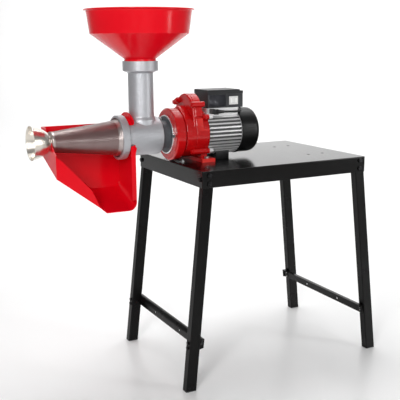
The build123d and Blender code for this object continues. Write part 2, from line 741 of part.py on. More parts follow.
def make_filler_plug():
    """Oil filler plug in the lobe's face."""
    collar, head = cover_lug_front - 4, cover_lug_front - 9
    plug = rod(9, collar, cover_lug_front - 0.1, filler_y, filler_z)
    plug += hexagon_x(11, head, collar, filler_y, filler_z)
    return plug + rod(filler_thread - thread_gap, cover_lug_front - 0.2, cover_rear - 2, filler_y, filler_z)


def make_output_seal():
    """Lip seal round the output shaft, in front of its bearing."""
    return pipe(34, 20.2, cover_front + 0.2, cover_front + 3.9)


def make_bearing_plate():
    """Wall between the two gear stages; it carries the rear of the output shaft."""
    plate = pipe(58, 21.1, 61, 70)
    plate -= rod(33, 59, 71, 0, lay_z)
    return plate


def ball_bearing(outer, inner, start, end, y=0.0, z=axis_z):
    """Closed bearing with shallow grooves between its two races."""
    body = pipe(outer, inner, start, end, y, z)
    step = (outer - inner) * 0.3
    for face in (start, end):
        body -= pipe(outer - step, inner + step, face - 0.8, face + 0.8, y, z)
    return body


def make_output_shaft():
    """Square drive for the auger, a journal, the output gear's seat and the rear journal."""
    shaft = turned([(-42, 0), (-42, 20), (-8, 20), (-8, 19.9), (48.5, 19.9), (48.5, 16), (61, 16),
                    (61, 12), (70, 12), (70, 0)])
    half = drive_half - 0.1
    square = block((at(-72), at(-41)), (-half, half), (axis_z - half, axis_z + half))
    return shaft + square


def make_layshaft():
    """Layshaft with its pinion cut on it."""
    shaft = rod(7.5, 34.5, 98, 0, lay_z)
    teeth = gear(lay_pinion_teeth, 47, 63, lay_z, -90, 7)
    return shaft + teeth


def make_layshaft_gear():
    web = gear(lay_gear_teeth, 73, 85, lay_z, -90 + 180 / lay_gear_teeth, 7.5)
    for face in (70, 82):
        web -= pipe(40, 16, face, face + 6, 0, lay_z)
    return web


def make_output_gear():
    web = gear(output_teeth, 48.6, 60.6, axis_z, 90 + 180 / output_teeth, 16)
    return web - pipe(42, 24, 47, 51)


# ---- motor ---------------------------------------------------------------------------
frame_front, frame_rear = 113.0, 238.0
fan_rear = 309.0
fin_count = 36
fin_thickness = 5.0
frame_bore = 62.0
fin_radius = 75.0
fan_cover_radius = 75.5
box_left, box_right = 123.5, 257.0
box_front, box_back = -45.0, 50.0
box_low, box_split, box_high = 870.0, 915.0, 929.0
box_wall = 2.5
lid_right = 244.0
plate_right = 190.5          # end of the recess for the rating plate
stack_front, stack_rear = 140.0, 205.0
air_gap = 0.5
rotor_radius = 36.0
lid_screw_x = (box_left + 9, lid_right - 6.5)


def make_motor_frame():
    """Ribbed aluminium sleeve with a flat seat for the terminal box."""
    frame = pipe(66.5, frame_bore, frame_front, frame_rear)
    fin = block((at(frame_front + 3), at(frame_rear - 3)), (-fin_thickness / 2, fin_thickness / 2),
                (frame_bore + 2, fin_radius))
    for i in range(fin_count):
        frame += Pos(0, 0, axis_z) * Rot(360 / fin_count * (i + 0.5), 0, 0) * fin
    frame += block((at(frame_front + 5), at(frame_rear - 2)), (-46, 46), (axis_z + 50, box_low))
    for y, z in lug_places():
        frame += block((at(frame_front), at(frame_front + 14)), sorted((y * 0.72, y)), (z - 7, z + 7))
        frame += rod(8, frame_front, frame_front + 14, y, z)
    frame -= rod(frame_bore, frame_front - 1, frame_rear + 1)
    for y, z in lug_places():
        frame -= rod(m8, frame_front - 1, frame_front + 15, y, z)
    frame -= block((at(150), at(214)), (-30, 30), (axis_z + 55, box_low + 1))
    return frame


def make_stator_core():
    core = pipe(frame_bore, rotor_radius + air_gap, stack_front, stack_rear)
    for y, z in around(24, 40.5):
        core -= rod(3.2, stack_front - 1, stack_rear + 1, y, z)
    return core


def make_stator_windings():
    ends = [turned([(x0, 40), (x0, 52), (x0 + 5, 56), (x1 - 5, 56), (x1, 52), (x1, 40)])
            for x0, x1 in ((122, stack_front - 0.1), (stack_rear + 0.1, 223))]
    return group(ends)


def make_rotor_shaft():
    """Motor shaft with the first pinion cut on its end."""
    shaft = turned([(72, 0), (72, 13.2), (86, 13.2), (86, 9.95), (112, 9.95), (112, 12), (232, 12),
                    (232, 8.45), (268, 8.45), (268, 0)])
    return shaft + gear(pinion_teeth, 72, 86, axis_z, 90, 12)


def make_rotor_core():
    """Laminated rotor with its end rings and small cooling vanes."""
    core = pipe(rotor_radius, 12, stack_front, stack_rear)
    for start, end in ((stack_front - 7, stack_front), (stack_rear, stack_rear + 7)):
        core += pipe(33, 22, start, end)
    vane = block((at(stack_rear + 7), at(stack_rear + 15)), (-1.2, 1.2), (23, 32))
    for i in range(8):
        core += Pos(0, 0, axis_z) * Rot(45 * i, 0, 0) * vane
    return core


def fan_screw_places():
    """The long screws that hold the fan cover on the end shield."""
    return list(around(4, 66.5, 45))


def make_rear_shield():
    """Rear end shield with the rear bearing's seat."""
    shield = turned([(frame_rear - 4, 20), (frame_rear - 4, frame_bore - 0.1), (frame_rear, frame_bore - 0.1),
                     (frame_rear, 71), (frame_rear + 6, 71), (frame_rear + 6, 62), (frame_rear + 3, 58),
                     (frame_rear + 3, 27), (frame_rear + 8, 25), (frame_rear + 8, 12), (frame_rear + 6, 12),
                     (frame_rear + 6, 20)])
    for y, z in fan_screw_places():
        shield -= rod(2.1, frame_rear - 1, frame_rear + 7, y, z)
    return shield


def make_cooling_fan():
    fan = pipe(18, 8.45, 252, 268) + pipe(58, 17, 252, 254.5)
    blade = block((at(254), at(274)), (-1.2, 1.2), (24, 57))
    blades = 7
    for i in range(blades):
        fan += Pos(0, 0, axis_z) * Rot(360 / blades * i, 0, 0) * blade
    return fan


def make_fan_cover():
    """Cup over the fan with slots in its end."""
    cover = turned([(frame_rear + 1, 73), (frame_rear + 1, fan_cover_radius + 1.2),
                    (frame_rear + 6, fan_cover_radius + 1.2), (frame_rear + 6.5, fan_cover_radius),
                    (fan_rear - 19, fan_cover_radius), (fan_rear - 10, 74), (fan_rear - 4, 70.5),
                    (fan_rear - 1, 66), (fan_rear, 60), (fan_rear, 0), (fan_rear - 2.4, 0),
                    (fan_rear - 2.4, 59), (fan_rear - 5.5, 67.5), (fan_rear - 11, 71.4), (fan_rear - 20, 73)])
    for y, z in fan_screw_places():
        cover += rod(6, frame_rear + 6.2, fan_rear - 12, y, z) & rod(fan_cover_radius - 0.5, 200, 320)
        cover -= rod(2.3, frame_rear, fan_rear + 1, y, z)
        cover -= rod(4.6, fan_rear - 13, fan_rear + 1, y, z)
    for ring in range(4):
        inner = 14 + 11 * ring
        slots = pipe(inner + 6, inner, fan_rear - 5, fan_rear + 1)
        for i in range(4):
            rib = block((at(fan_rear - 8), at(fan_rear + 2)), (-2.2, 2.2), (0, 80))
            slots -= Pos(0, 0, axis_z) * Rot(90 * i, 0, 0) * rib
        cover -= slots
    return cover


def make_fan_cover_screws():
    seat = fan_rear - 13
    return group([rod(2, frame_rear + 1, seat, y, z) + rod(4.2, seat, seat + 2.5, y, z)
                  for y, z in fan_screw_places()])


def make_motor_foot():
    """Moulded cradle under the motor."""
    cradle = block((at(156), at(204)), (-42, 42), (table_height, axis_z - 58))
    cradle -= rod(fin_radius + 0.2, 150, 210)
    cradle -= block((at(163), at(197)), (-22, 22), (table_height - 1, table_height + 5))
    return cradle


# ---- terminal box ------------------------------------------------------------------------
switch_x, switch_z = 219.4, 893.0
switch_size = (33.0, 27.0)
rocker_tilt = 7.0
gland_y, gland_z = -56.5, 858.5
gland_end, sleeve_end = 154.0, 177.0


def lid_screw_places():
    return [(x, y) for x in lid_screw_x for y in (box_front + 9, box_back - 9)]


def make_terminal_box():
    """Open-topped box; its right end is raised behind the front wall for the cord."""
    wall = box_wall
    box = block((at(box_left), at(box_right)), (box_front, box_back), (box_low, box_split))
    box = fillet(box.edges().filter_by(Axis.Z), 3)
    box -= block((at(box_left + wall), at(frame_rear - 4)), (box_front + wall, box_back - wall),
                 (box_low + wall, box_split + 1))
    box -= block((at(frame_rear - 5), at(box_right - wall)), (box_front + wall, box_back - wall),
                 (box_low + 17, box_split + 1))
    box -= block((at(frame_rear - 1), at(box_right + 1)), (box_front + wall, box_back + 1),
                 (box_low - 1, box_low + 14))
    box -= block((at(switch_x - 13), at(switch_x + 13)), (box_front - 1, box_front + 4),
                 (switch_z - 10, switch_z + 10))
    box -= block((at(box_left - 1), at(plate_right)), (box_front - 1, box_front + 1),
                 (box_low + 4, box_split - 1.5))
    for x, y in lid_screw_places():
        box += post(5, box_low + 1, box_split, at(x), y)
        box -= post(1.8, box_split - 20, box_split + 1, at(x), y)
    return box


def make_terminal_box_lid():
    wall = box_wall
    lid = block((at(box_left - 1), at(lid_right)), (box_front - 1, box_back + 1),
                (box_split + 0.1, box_high))
    lid += block((at(lid_right - 1), at(box_right)), (box_front, box_back), (box_split + 0.1, box_split + 9))
    lid = fillet(lid.faces().sort_by(Axis.Z)[-1].edges(), 3)
    lid -= block((at(box_left + wall), at(lid_right - wall)), (box_front + wall, box_back - wall),
                 (box_split, box_high - wall))
    lid -= block((at(lid_right - 4), at(box_right - wall)), (box_front + wall, box_back - wall),
                 (box_split, box_split + 6.5))
    for x, y in lid_screw_places():
        lid += post(5, box_split + 0.1, box_high - 1, at(x), y)
        lid -= post(2.1, box_split - 1, box_high + 1, at(x), y)
        lid -= post(4, box_high - 3, box_high + 1, at(x), y)
    return lid


def make_lid_screws():
    seat = box_high - 3
    return group([post(1.75, box_split - 16, seat, at(x), y) + post(3.7, seat, seat + 2.4, at(x), y)
                  for x, y in lid_screw_places()])


def make_switch_frame():
    """Bezel and body of the on/off switch."""
    half_x, half_z = switch_size[0] / 2, switch_size[1] / 2
    x, z = switch_x, switch_z
    bezel = block((at(x - half_x), at(x + half_x)), (box_front - 3, box_front - 0.05),
                  (z - half_z, z + half_z))
    bezel = fillet(bezel.faces().sort_by(Axis.Y)[0].edges(), 1.2)
    body = block((at(x - 12.5), at(x + 12.5)), (box_front - 1, box_front + 18), (z - 9.8, z + 9.8))
    frame = bezel + body
    frame -= block((at(x - 11), at(x + 11)), (box_front - 5, box_front + 9), (z - 8, z + 8))
    return frame


def make_switch_rocker():
    """Rocker on a vertical pin, shown tipped to the off side."""
    x, z = switch_x, switch_z
    shape = Polyline((-10.3, -4.6), (0, -2.4), (10.3, -4.6), (8.6, 2), (-8.6, 2), close=True)
    tipped = Pos(at(x), box_front, z - 7.5) * Rot(0, 0, -rocker_tilt) * make_face(shape)
    return extrude(tipped, 15) + post(2.6, z - 7.5, z + 7.5, at(x), box_front)


def make_capacitor():
    can = Pos(at(160), 18, box_low + 21) * Rot(0, 90, 0) * Cylinder(17, 62)
    return fillet(can.edges(), 2)


def make_cable_gland():
    """Angled cable entry on the seat's front face, turned along the motor."""
    body = block((at(128), at(143)), (gland_y - 10, -46.1), (gland_z - 6, gland_z + 10))
    body = fillet(body.edges().filter_by(Axis.Y), 4)
    entry = rod(8.5, 142, 147, gland_y, gland_z) + hexagon_x(17, 147, gland_end, gland_y, gland_z)
    return body + entry - rod(cord_diameter / 2 + 0.1, 141, gland_end + 1, gland_y, gland_z)


def make_strain_relief():
    """Tapered rubber sleeve out of the gland."""
    length = sleeve_end - gland_end - 0.1
    sleeve = Pos(at(sleeve_end - length / 2), gland_y, gland_z) * Rot(0, 90, 0) * Cone(7, 4.4, length)
    return sleeve - rod(cord_diameter / 2 + 0.1, gland_end - 1, sleeve_end + 1, gland_y, gland_z)


# ---- mains cord --------------------------------------------------------------------------
# Route: out of the sleeve, along the motor, over its crest under the box, down the far
# side to the table top, then into the coil.
cord_rest = table_height + cord_diameter / 2 + 0.1
cord_route = [(sleeve_end, gland_y, gland_z), (194, -61, 858), (228.5, -65, 857), (254, -41, 861),
              (258, -6, 874), (256, 27, 874), (252, 62, 857), (246, 92, 818), (238, 110, 774),
              (229, 122, 737), (211, 130, 709), (177, 133.7, cord_rest), (150, 134, cord_rest)]


def cord_points():
    return [Vector(at(x), y, z) for x, y, z in cord_route]


def cord_radii(points):
    radii = []
    for before, here, after in zip(points, points[1:], points[2:]):
        turn = radians((here - before).get_angle(after - here))
        radii.append(0.45 * min((here - before).length, (after - here).length) / tan(turn / 2))
    return radii


def make_mains_cord():
    points = cord_points()
    radii = cord_radii(points)
    path = FilletPolyline(*points, radius=radii)
    section = Plane(origin=path @ 0, z_dir=path % 0) * Circle(cord_diameter / 2)
    cord = sweep(section, path=path)
    print("cord radii", [round(r) for r in radii], "length", round(path.length, 1))
    print("cord volume over section times length",
          round(cord.volume / (pi * cord_diameter ** 2 / 4 * path.length), 4))
    return cord


def coil_ring():
    """Outer shape of the wound cord, lying on the table top."""
    x, y = at(coil_centre[0]), coil_centre[1]
    low, high = table_height + 0.1, table_height + 0.3 + coil_layers * cord_diameter
    outer = coil_mean_radius + cord_diameter + 0.2
    inner = coil_mean_radius - cord_diameter - 0.2
    return post(outer, low, high, x, y) - post(inner, low - 1, high + 1, x, y)


def make_mains_plug():
    """Moulded plug lying beside the coil, with two round pins."""
    end, z = plug_end, table_height + 18.2
    y = coil_centre[1] - coil_mean_radius - cord_diameter / 2
    body = rod(18, end - 56, end - 20, y, z) + rod(15, end - 60, end - 56, y, z)
    body = fillet(body.faces().sort_by(Axis.X)[-1].edges(), 6)
    neck = Pos(at(end - 10), y, z) * Rot(0, 90, 0) * Cone(9, 4.8, 20.1)
    plug = body + neck
    for dy in (-9.5, 9.5):
        plug += rod(2.4, end - 79, end - 59, y + dy, z)
    return plug


PIECES = {
    "table_top": make_table_top,
    "leg_front_left": lambda: make_leg(-1, -1),
    "leg_front_right": lambda: make_leg(1, -1),
    "leg_rear_left": lambda: make_leg(-1, 1),
    "leg_rear_right": lambda: make_leg(1, 1),
    "leg_caps": make_leg_caps,
    "brace_left": lambda: make_brace(-1),
    "brace_right": lambda: make_brace(1),
    "stand_bolts": make_stand_bolts,
    "stand_nuts": make_stand_nuts,
    "end_skirt_screws": make_end_bolts,
    "strainer_body": make_strainer_body,
    "coupling_flange": make_coupling_flange,
    "coupling_bolts": make_coupling_bolts,
    "retaining_ring": make_retaining_ring,
    "sieve_cone": make_sieve_cone,
    "waste_outlet": make_waste_outlet,
    "splash_guard": make_splash_guard,
    "hopper": make_hopper,
    "auger": make_auger,
    "socket_ring": make_socket_ring,
    "socket_screws": make_socket_screws,
    "gearbox_cover": make_gearbox_cover,
    "gearbox_housing": make_gearbox_housing,
    "gearbox_bolts": make_gearbox_bolts,
    "bearing_plate": make_bearing_plate,
    "output_shaft": make_output_shaft,
    "output_gear": make_output_gear,
    "output_bearing_front": lambda: ball_bearing(34, 20, cover_front + 4, cover_front + 14),
    "output_bearing_rear": lambda: ball_bearing(21, 12 + run_fit, 61, 70),
    "layshaft": make_layshaft,
    "layshaft_gear": make_layshaft_gear,
    "layshaft_bearings": lambda: group([ball_bearing(17.5, 7.5 + run_fit, a, b, 0, lay_z)
                                        for a, b in ((34.2, 45), (87, 97.8))]),
    "filler_plug": make_filler_plug,
    "output_seal": make_output_seal,
    "foot_bolts": make_foot_bolts,
    "foot_nuts": make_foot_nuts,
    "motor_frame": make_motor_frame,
    "stator_core": make_stator_core,
    "stator_windings": make_stator_windings,
    "rotor_shaft": make_rotor_shaft,
    "rotor_core": make_rotor_core,
    "motor_bearing_front": lambda: ball_bearing(23.5, 10, 93, 107),
    "motor_bearing_rear": lambda: ball_bearing(19.9, 8.5, 233, 243.9),
    "rear_shield": make_rear_shield,
    "cooling_fan": make_cooling_fan,
    "fan_cover": make_fan_cover,
    "fan_cover_screws": make_fan_cover_screws,
    "motor_foot": make_motor_foot,
    "terminal_box": make_terminal_box,
    "terminal_box_lid": make_terminal_box_lid,
    "lid_screws": make_lid_screws,
    "switch_frame": make_switch_frame,
    "switch_rocker": make_switch_rocker,
    "capacitor": make_capacitor,
    "cable_gland": make_cable_gland,
    "strain_relief": make_strain_relief,
    "mains_cord": make_mains_cord,
    "cord_coil": coil_ring,
    "mains_plug": make_mains_plug,
}

os.makedirs("parts", exist_ok=True)
for name, make in PIECES.items():
    save(make(), name)
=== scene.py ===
import json
import math

import bmesh
import bpy
from mathutils import Euler, Matrix, Vector


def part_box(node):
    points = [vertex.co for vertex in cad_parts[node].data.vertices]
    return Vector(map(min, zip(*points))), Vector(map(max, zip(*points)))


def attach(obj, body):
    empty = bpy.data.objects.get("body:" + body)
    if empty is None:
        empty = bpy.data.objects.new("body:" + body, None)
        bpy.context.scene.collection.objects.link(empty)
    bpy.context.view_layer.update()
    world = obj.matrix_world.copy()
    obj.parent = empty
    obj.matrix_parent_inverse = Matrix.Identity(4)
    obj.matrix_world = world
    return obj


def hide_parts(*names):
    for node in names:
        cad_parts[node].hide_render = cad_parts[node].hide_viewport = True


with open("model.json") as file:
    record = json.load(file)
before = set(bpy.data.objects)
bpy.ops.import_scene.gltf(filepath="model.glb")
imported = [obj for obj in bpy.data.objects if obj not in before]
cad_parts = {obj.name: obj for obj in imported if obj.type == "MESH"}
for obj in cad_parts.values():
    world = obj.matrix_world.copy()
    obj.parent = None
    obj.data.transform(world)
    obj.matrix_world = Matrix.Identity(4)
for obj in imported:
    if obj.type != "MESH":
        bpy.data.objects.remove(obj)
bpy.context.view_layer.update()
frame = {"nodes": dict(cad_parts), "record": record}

scene = bpy.context.scene
nodes = frame["nodes"]

# the machine's axis and the table top, read from the frame
tableLow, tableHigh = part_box("table_top")
tableTop = tableHigh.z
tableLeft = tableLow.x
ringLow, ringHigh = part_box("retaining_ring")
axisZ = (ringLow.z + ringHigh.z) / 2
axisY = (ringLow.y + ringHigh.y) / 2

cameraSet = {
    "place": (-1.15602, -2.19742, 1.08721),
    "turn": 27.692,      # degrees from +Y towards +X
    "down": 12.0615,
    "lean": -0.3485,
    "lens": 67.155,
}


def placeCamera():
    data = bpy.data.cameras.new("camera")
    data.lens = cameraSet["lens"]
    data.sensor_width = 36
    camera = bpy.data.objects.new("camera", data)
    scene.collection.objects.link(camera)
    aim = Euler((math.radians(90 - cameraSet["down"]), 0, math.radians(-cameraSet["turn"])))
    lean = Matrix.Rotation(math.radians(cameraSet["lean"]), 4, "Z")
    camera.matrix_world = Matrix.Translation(cameraSet["place"]) @ aim.to_matrix().to_4x4() @ lean
    scene.camera = camera


placeCamera()
print("camera placed")


class Wire:
    # a socket that can be added, multiplied and compared like a number
    def __init__(self, finish, socket):
        self.finish = finish
        self.socket = socket

    def maths(self, operation, first, second=None, clamp=False):
        values = {0: first} if second is None else {0: first, 1: second}
        return self.finish.node("ShaderNodeMath", {"operation": operation, "use_clamp": clamp}, values)

    def __add__(self, other):
        return self.maths("ADD", self, other)

    def __radd__(self, other):
        return self.maths("ADD", other, self)

    def __sub__(self, other):
        return self.maths("SUBTRACT", self, other)

    def __rsub__(self, other):
        return self.maths("SUBTRACT", other, self)

    def __mul__(self, other):
        return self.maths("MULTIPLY", self, other)

    def __rmul__(self, other):
        return self.maths("MULTIPLY", other, self)

    def __truediv__(self, other):
        return self.maths("DIVIDE", self, other)

    def __pow__(self, other):
        return self.maths("POWER", self, other)

    def over(self, limit):
        return self.maths("GREATER_THAN", self, limit)

    def under(self, limit):
        return self.maths("LESS_THAN", self, limit)

    def wrapped(self, size):
        return self.maths("FLOORED_MODULO", self, size)

    def sine(self):
        return self.maths("SINE", self)

    def root(self):
        return self.maths("SQRT", self)

    def angleWith(self, other):
        return self.maths("ARCTAN2", self, other)

    def clamped(self):
        return self.maths("ADD", self, 0.0, clamp=True)


class Finish:
    # one material, built node by node
    def __init__(self, name, **sockets):
        self.material = bpy.data.materials.new(name)
        self.material.use_nodes = True
        self.tree = self.material.node_tree
        self.shader = self.tree.nodes["Principled BSDF"]
        for socket, value in sockets.items():
            self.shader.inputs[socket.replace("_", " ")].default_value = value
        self.place = self.node("ShaderNodeTexCoord", out="Object")

    def node(self, kind, settings=None, values=None, out=0):
        made = self.tree.nodes.new(kind)
        for key, value in (settings or {}).items():
            if key == "stops":
                ramp = made.color_ramp
                while len(ramp.elements) < len(value):
                    ramp.elements.new(0.5)
                for element, (position, colour) in zip(ramp.elements, value):
                    element.position = position
                    element.color = (*colour, 1)
            else:
                setattr(made, key, value)
        for key, value in (values or {}).items():
            if isinstance(value, Wire):
                self.tree.links.new(value.socket, made.inputs[key])
            else:
                made.inputs[key].default_value = value
        return Wire(self, made.outputs[out])

    def set(self, socket, value):
        self.tree.links.new(value.socket, self.shader.inputs[socket])

    def split(self):
        return [self.node("ShaderNodeSeparateXYZ", values={0: self.place}, out=i) for i in range(3)]

    def fromAxis(self, y, z):
        # how far a point is from the line that the screw and the motor turn about
        return ((y - axisY) * (y - axisY) + (z - axisZ) * (z - axisZ)).root()

    def waves(self, along, rate):
        # fine parallel lines, rate in radians a metre, from 0 to 1
        return (along * rate).sine() * 0.5 + 0.5

    def stretched(self, scale):
        return self.node("ShaderNodeMapping", values={"Vector": self.place, "Scale": scale})

    def noise(self, scale, detail=3.0, rough=0.55, vector=None):
        return self.node("ShaderNodeTexNoise", values={
            "Vector": vector or self.place, "Scale": scale, "Detail": detail, "Roughness": rough})

    def mixed(self, factor, first, second):
        values = {0: factor, 6: first if isinstance(first, Wire) else (*first, 1),
                  7: second if isinstance(second, Wire) else (*second, 1)}
        return self.node("ShaderNodeMix", {"data_type": "RGBA"}, values, out=2)

    def ramp(self, factor, stops):
        return self.node("ShaderNodeValToRGB", {"stops": stops}, {0: factor})

    def bumped(self, *layers):
        # layers of (height, distance in metres), one on the other
        normal = None
        for height, distance in layers:
            values = {"Height": height, "Distance": distance, "Strength": 1.0}
            if normal:
                values["Normal"] = normal
            normal = self.node("ShaderNodeBump", values=values)
        self.set("Normal", normal)

    def worn(self, base, edge, low=0.52, high=0.6):
        # paint rubbed lighter on raised edges
        point = self.node("ShaderNodeNewGeometry", out="Pointiness")
        return self.mixed(((point - low) / (high - low)).clamped(), base, edge)


standPaintSet = {
    "colour": (0.0030, 0.0028, 0.0028),
    "dust": (0.008, 0.0076, 0.0076),
    "grain": 0.00004,
    "unevenness": 0.00006,
}


def makeStandPaint(name, roughLow, roughHigh, coat, shine):
    paint = Finish(name, Coat_Weight=coat, Coat_Roughness=0.06, Specular_IOR_Level=shine)
    cloud = paint.noise(9, 4)
    fine = paint.noise(1500, 2)
    paint.set("Base Color", paint.mixed(cloud ** 2.5, standPaintSet["colour"], standPaintSet["dust"]))
    paint.set("Roughness", roughLow + cloud * (roughHigh - roughLow))
    paint.bumped((fine, standPaintSet["grain"]), (paint.noise(60, 2), standPaintSet["unevenness"]))
    return paint.material


zincSet = {"dull": (0.42, 0.42, 0.43), "bright": (0.72, 0.71, 0.68), "spangle": 260}


def makeZinc():
    zinc = Finish("zincPlate", Metallic=1.0)
    cloud = zinc.noise(zincSet["spangle"], 4)
    zinc.set("Base Color", zinc.ramp(cloud, [(0.3, zincSet["dull"]), (0.7, zincSet["bright"])]))
    zinc.set("Roughness", 0.22 + cloud * 0.25)
    zinc.bumped((zinc.noise(1800, 2), 0.00003))
    return zinc.material


castSilverSet = {
    "light": (0.58, 0.59, 0.62),
    "dark": (0.40, 0.41, 0.43),
    "grainSize": 700,
    "grain": 0.0003,
    "swell": 0.0011,     # the sand mould's uneven skin
}


def makeCastSilver():
    cast = Finish("castSilver", Metallic=0.62, Coat_Weight=0.12, Coat_Roughness=0.3)
    cloud = cast.noise(24, 6, 0.65)
    grain = cast.noise(castSilverSet["grainSize"], 3, 0.75)
    speckle = (cloud * 0.6 + grain * 0.5).clamped()
    cast.set("Base Color", cast.mixed(speckle, castSilverSet["dark"], castSilverSet["light"]))
    cast.set("Roughness", 0.3 + grain * 0.2)
    cast.bumped((cast.noise(85, 4), castSilverSet["swell"]), (grain, castSilverSet["grain"]))
    return cast.material


couplingSet = {
    # the face colour holds painted shade of the shadowed recess as well as the steel's own dark tone
    "face": (0.075, 0.083, 0.09),
    "rim": (0.86, 0.86, 0.86),
    "rimRadius": 0.0596,
    "turningMarks": 5200,
}


def makeCouplingSteel():
    # face coloured near-black, the steel's dark tone deepened by painted shade of the recess it sits in,
    # with a bright turned rim
    steel = Finish("couplingSteel")
    x, y, z = steel.split()
    away = steel.fromAxis(y, z)
    rings = steel.waves(away, couplingSet["turningMarks"])
    rim = away.over(couplingSet["rimRadius"])
    cloud = steel.noise(40, 4)
    # painted shade: the near-black face stands in for the shadow over the recessed face
    dark = steel.mixed(cloud, couplingSet["face"], [c * 2 for c in couplingSet["face"]])
    steel.set("Base Color", steel.mixed(rim, dark, couplingSet["rim"]))
    steel.set("Metallic", 0.4 + rim * 0.6)
    steel.set("Roughness", 0.42 + rings * 0.08 - rim * 0.2)
    steel.bumped((rings, 0.00002))
    return steel.material


outletSteelSet = {"cool": (0.76, 0.73, 0.70), "warm": (0.72, 0.66, 0.56), "latheMarks": 3600}


def makeOutletSteel():
    steel = Finish("tinnedSteel", Metallic=1.0)
    x, y, z = steel.split()
    marks = steel.waves(x, outletSteelSet["latheMarks"])
    cloud = steel.noise(22, 4)
    steel.set("Base Color", steel.mixed(cloud, outletSteelSet["cool"], outletSteelSet["warm"]))
    steel.set("Roughness", 0.16 + cloud * 0.12 + marks * 0.05)
    steel.bumped((marks, 0.000012), (steel.noise(45, 2), 0.0001))
    return steel.material


sieveSet = {
    "rows": 0.0022,      # pitch along the cone
    "across": 118,       # holes in one turn
    "hole": 0.39,        # hole radius, in pitches
    "flange": 0.1925,    # plain flange and end band, from the table's left end
    "endBand": 0.3868,
    "light": (0.70, 0.62, 0.60),
    "dark": (0.30, 0.25, 0.24),
    # painted shade of the cone's inside seen through the holes, tinted with painted reflection of the red
    # guard
    "inside": (0.085, 0.008, 0.008),
}


def makeSieveSteel():
    # staggered round holes, pitched round and along the cone
    sieve = Finish("perforatedSteel")
    x, y, z = sieve.split()
    row = x / sieveSet["rows"]
    odd = (row.wrapped(2.0)).over(1.0) * 0.5
    turn = ((y - axisY).angleWith(z - axisZ) + math.pi) * (sieveSet["across"] / (2 * math.pi)) + odd
    across = turn.wrapped(1.0) - 0.5
    along = row.wrapped(1.0) - 0.5
    away = (across * across + along * along).root()
    hole = away.under(sieveSet["hole"])
    ends = x.over(tableLeft - sieveSet["flange"]) + x.under(tableLeft - sieveSet["endBand"])
    hole = hole * (1 - ends.clamped())
    cloud = sieve.noise(30, 4)
    speckle = (cloud * 0.5 + sieve.noise(420, 2, 0.6) * 0.6).clamped()
    metal = sieve.mixed(speckle, sieveSet["dark"], sieveSet["light"])
    # painted shade: the holes take a dark red colour for the shaded inside, with the guard's red painted in
    # as reflection
    sieve.set("Base Color", sieve.mixed(hole, metal, sieveSet["inside"]))
    sieve.set("Metallic", 1 - hole * 0.9)
    sieve.set("Roughness", 0.26 + hole * 0.4 + cloud * 0.14)
    sieve.bumped((sieve.noise(16, 2), 0.0006), (1 - hole, 0.0003))
    return sieve.material


redPlasticSet = {"bright": (0.84, 0.002, 0.013), "deep": (0.70, 0.001, 0.008)}


def makeRedPlastic():
    red = Finish("redPlastic", Specular_IOR_Level=0.3)
    cloud = red.noise(7, 3)
    scuff = red.noise(34, 6, 0.7)
    red.set("Base Color", red.mixed(cloud, redPlasticSet["deep"], redPlasticSet["bright"]))
    red.set("Roughness", 0.12 + scuff * 0.12)
    red.bumped((red.noise(9, 1), 0.0004))
    return red.material


redEnamelSet = {
    "bright": (0.66, 0.004, 0.006),
    "deep": (0.34, 0.002, 0.003),
    "chip": (0.85, 0.05, 0.04),
    # painted shade for hollows and creases
    "creaseShade": (0.05, 0.001, 0.001),
}


def makeRedEnamel():
    # thick gloss enamel over a sand casting
    red = Finish("redEnamel", Coat_Weight=0.6, Coat_Roughness=0.035, Specular_IOR_Level=0.3)
    cloud = red.noise(18, 4)
    body = red.mixed(cloud, redEnamelSet["deep"], redEnamelSet["bright"])
    # painted shade: hollows and creases, found by low pointiness, are darkened to near-black red
    point = red.node("ShaderNodeNewGeometry", out="Pointiness")
    hollowShade = ((0.49 - point) / 0.05).clamped()
    body = red.mixed(hollowShade, body, redEnamelSet["creaseShade"])
    red.set("Base Color", red.worn(body, redEnamelSet["chip"], 0.56, 0.72))
    red.set("Roughness", 0.16 + cloud * 0.12)
    red.bumped((red.noise(48, 3), 0.0014), (red.noise(420, 2), 0.0001))
    return red.material


augerNylonSet = {"low": (0.62, 0.60, 0.52), "high": (0.78, 0.76, 0.70)}


def makeAugerNylon():
    nylon = Finish("nylon", Subsurface_Weight=0.15, Subsurface_Scale=0.004)
    cloud = nylon.noise(30, 3)
    nylon.set("Base Color", nylon.mixed(cloud, augerNylonSet["low"], augerNylonSet["high"]))
    nylon.set("Roughness", 0.34 + cloud * 0.15)
    nylon.bumped((nylon.noise(900, 2), 0.00004))
    return nylon.material


def makeCutSteel(name, low, high, rough):
    steel = Finish(name, Metallic=1.0)
    cloud = steel.noise(120, 3)
    steel.set("Base Color", steel.mixed(cloud, low, high))
    steel.set("Roughness", rough + cloud * 0.12)
    steel.bumped((steel.noise(1200, 2, 0.5, steel.stretched((0.1, 1, 1))), 0.00004))
    return steel.material


motorFinSet = {
    "light": (0.95, 0.95, 0.95),
    "dark": (0.74, 0.74, 0.75),
    "rootShadeAndGrime": (0.11, 0.11, 0.112),
    "drawLines": 500,
    "root": 0.0665,      # radius where the painted shade and grime between the fins is darkest
    "tip": 0.0735,
}


